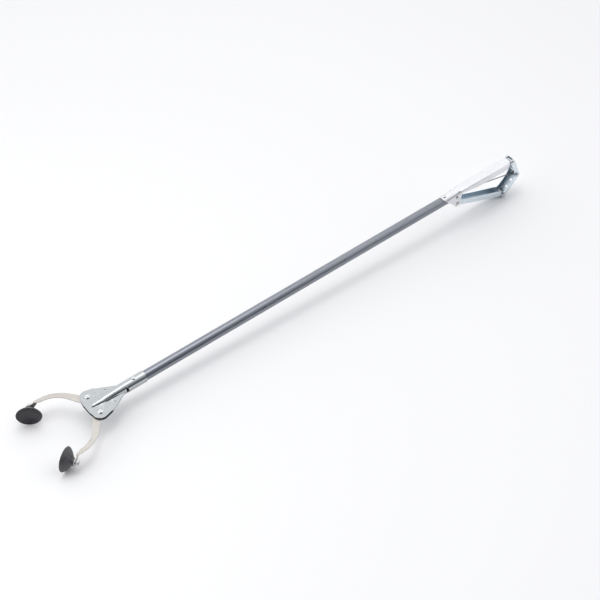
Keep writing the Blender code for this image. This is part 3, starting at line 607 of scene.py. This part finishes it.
def make_rivet(node, shank, head, height, grip, axis, crown):
    """A rivet with a head at each end. The grip is half the length between its heads."""
    end = [(r * head, grip + h * height) for r, h in DOME_EDGE + crown]
    profile = [(r, -h) for r, h in reversed(end)] + [(shank, -grip), (shank, grip)] + end
    turned(node + "_struck", profile, middle_of(node), axis, node, 48, SHADED_RIM_SHARE * head)


BLIND_HEAD_HEIGHT = 1.35 * MM
# Beyond this radius a blind rivet's head takes the painted shade of its rim.
BLIND_SHADED_RIM_RADIUS = 2.5 * MM

# A blind rivet's section in millimetres: its head from the mandrel mark out, with heights from the
# seat up, and its closed end, with heights from the far end up.
BLIND_HEAD = [
    (0.0, 0.85),
    (0.55, 0.85),
    (0.75, 1.22),
    (1.1, 1.33),
    (1.7, 1.24),
    (2.5, 0.92),
    (3.05, 0.45),
    (3.3, 0.15),
    (3.25, 0.0),
    (1.6, 0.0),
]
BLIND_END = [(1.6, 1.8), (2.25, 1.5), (2.1, 0.5), (1.2, 0.05), (0.0, 0.0)]


def make_blind_rivets():
    """Blind rivets: a flanged head with a sunk mandrel mark, and the closed end inside."""
    for node, outward in (
        ("head_collar_rivet_top", UP),
        ("head_collar_rivet_bottom", -UP),
        ("handle_rivet_top", UP),
        ("handle_rivet_left", SIDE),
        ("handle_rivet_right", -SIDE),
    ):
        spots = [vertex.co.dot(outward) for vertex in NODES[node].data.vertices]
        top = max(spots) - BLIND_HEAD_HEIGHT
        depth = top - min(spots)
        middle = middle_of(node)
        seat = middle + outward * (top - middle.dot(outward))
        profile = [(r * MM, h * MM) for r, h in BLIND_HEAD]
        profile += [(r * MM, h * MM - depth) for r, h in BLIND_END]
        turned(node + "_set", profile, seat, outward, node, 48, BLIND_SHADED_RIM_RADIUS)


SPRING_START = 62 * MM
SPRING_END = 112 * MM
SPRING_RADIUS = 4.6 * MM
SPRING_WIRE = 0.6 * MM
SPRING_TURNS = 9
SPRING_STEPS = 28  # points in each turn


def make_spring():
    """The return spring, coiled between its given ends. The real spring shortens towards its rear end as the rod
    moves back; this piece keeps its length.
    """
    points = []
    steps = SPRING_STEPS * SPRING_TURNS
    for step in range(steps + 1):
        angle = 2 * math.pi * SPRING_TURNS * step / steps
        x = SPRING_START + (SPRING_END - SPRING_START) * step / steps
        y, z = SPRING_RADIUS * math.cos(angle), SPRING_RADIUS * math.sin(angle)
        points.append(TOOL @ Vector((x, y, z)))
    spring = wire("return_spring_coiled", points, SPRING_WIRE, "return_spring")
    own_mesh(spring)


HANDLE_LOOP_MIDDLE = Vector((705, 0, -20)) * MM  # inside the loop that the handle's links make


def make_sheet_pieces():
    """The sheet pieces and the yoke, each with its cut edges rounded by the given millimetres."""
    for node, edge in (
        ("head_plate_top", 0.28),
        ("head_plate_bottom", 0.28),
        ("jaw_left", 0.4),
        ("jaw_right", 0.4),
        ("handle_body", 0.25),
        ("trigger", 0.25),
        ("middle_link", 0.25),
        ("top_link", 0.25),
        ("pull_yoke", 0.3),
    ):
        piece = softened(node, edge * MM)
        if node in OWN_FINISH:
            # Paints shade on the inner faces of the links' channels.
            paint_channel_inside_shade(piece, TOOL @ HANDLE_LOOP_MIDDLE)


def finish_nodes():
    """Gives every CAD node its finish, for those that no finer piece stands for."""
    for node, piece in NODES.items():
        piece.data.materials.clear()
        piece.data.materials.append(finish_of(node))
        smooth(piece.data)


# ---------------------------------------------------------------- floor, light and camera


FLOOR_HALF_WIDTH = 6
FLOOR_COLOUR = (0.93, 0.93, 0.94, 1)


def make_floor():
    solid = bmesh.new()
    bmesh.ops.create_grid(solid, x_segments=1, y_segments=1, size=FLOOR_HALF_WIDTH)
    mesh = bpy.data.meshes.new("studio_floor")
    solid.to_mesh(mesh)
    solid.free()
    floor = bpy.data.objects.new("studio_floor", mesh)
    bpy.context.scene.collection.objects.link(floor)
    paint = bpy.data.materials.new("pale_floor")
    paint.use_nodes = True
    shader = paint.node_tree.nodes["Principled BSDF"]
    shader.inputs["Base Color"].default_value = FLOOR_COLOUR
    shader.inputs["Roughness"].default_value = 0.9
    shader.inputs["Specular IOR Level"].default_value = 0.1
    mesh.materials.append(paint)


LAMP_TARGET = Vector((0, 0, 0.03))


def add_area(name, place, size, power):
    """A soft rectangular lamp that faces the tool."""
    light = bpy.data.lights.new(name, "AREA")
    light.shape = "RECTANGLE"
    light.size, light.size_y = size
    light.energy = power
    lamp = bpy.data.objects.new(name, light)
    lamp.location = place
    lamp.rotation_euler = (LAMP_TARGET - Vector(place)).to_track_quat("-Z", "Y").to_euler()
    bpy.context.scene.collection.objects.link(lamp)


# The open side of the studio, which bright metal reflects as dark. A direction's place on the
# ramp is half of one plus its cosine with this side.
DIM_SIDE = Vector((-0.62, -0.78, 0)).normalized()
LIT_WALL = 1.25
LIT_UNTIL = 0.45
DIM_WALL = 0.10
DIM_FROM = 0.8


def make_world():
    """Studio walls: a bright sweep behind and overhead that falls off to a dim room in front."""
    world = bpy.data.worlds.new("studio_world")
    world.use_nodes = True
    nodes, links = world.node_tree.nodes, world.node_tree.links
    background = nodes["Background"]
    direction = nodes.new("ShaderNodeTexCoord")
    side = nodes.new("ShaderNodeVectorMath")
    side.operation = "DOT_PRODUCT"
    side.inputs[1].default_value = DIM_SIDE
    links.new(direction.outputs["Generated"], side.inputs[0])
    fall = nodes.new("ShaderNodeValToRGB")
    fall.color_ramp.interpolation = "EASE"
    bright, dim = fall.color_ramp.elements
    bright.position, bright.color = LIT_UNTIL, (LIT_WALL, LIT_WALL, LIT_WALL, 1)
    dim.position, dim.color = DIM_FROM, (DIM_WALL, DIM_WALL * 1.1, DIM_WALL * 1.3, 1)
    half = nodes.new("ShaderNodeMath")
    half.operation = "MULTIPLY_ADD"
    half.inputs[1].default_value = 0.5
    half.inputs[2].default_value = 0.5
    links.new(side.outputs["Value"], half.inputs[0])
    links.new(half.outputs["Value"], fall.inputs["Fac"])
    links.new(fall.outputs["Color"], background.inputs["Color"])
    bpy.context.scene.world = world


def make_light():
    make_world()
    add_area("overhead_softbox", (-0.1, 0.3, 2.0), (1.4, 0.6), 7)
    add_area("left_softbox", (-1.4, 0.2, 0.9), (0.8, 0.8), 3)


CAMERA_PLACE = (-1.002, -1.2713, 1.6773)
CAMERA_TURN = (44.259, -0.357, -38.03)  # degrees
CAMERA_LENS = 87  # mm, for the sensor's width
SENSOR_WIDTH = 36


def make_camera():
    lens = bpy.data.cameras.new("studio_camera")
    lens.lens = CAMERA_LENS
    lens.sensor_width = SENSOR_WIDTH
    camera = bpy.data.objects.new("studio_camera", lens)
    camera.location = CAMERA_PLACE
    camera.rotation_euler = [math.radians(angle) for angle in CAMERA_TURN]
    bpy.context.scene.collection.objects.link(camera)
    bpy.context.scene.camera = camera


def main():
    make_camera()
    make_floor()
    make_light()
    bpy.context.scene.view_settings.view_transform = "Standard"
    finish_nodes()
    make_tube()
    make_sheet_pieces()
    for word, side in (("left", 1), ("right", -1)):
        make_cup(word, side)
    make_pins()
    make_blind_rivets()
    make_spring()


main()
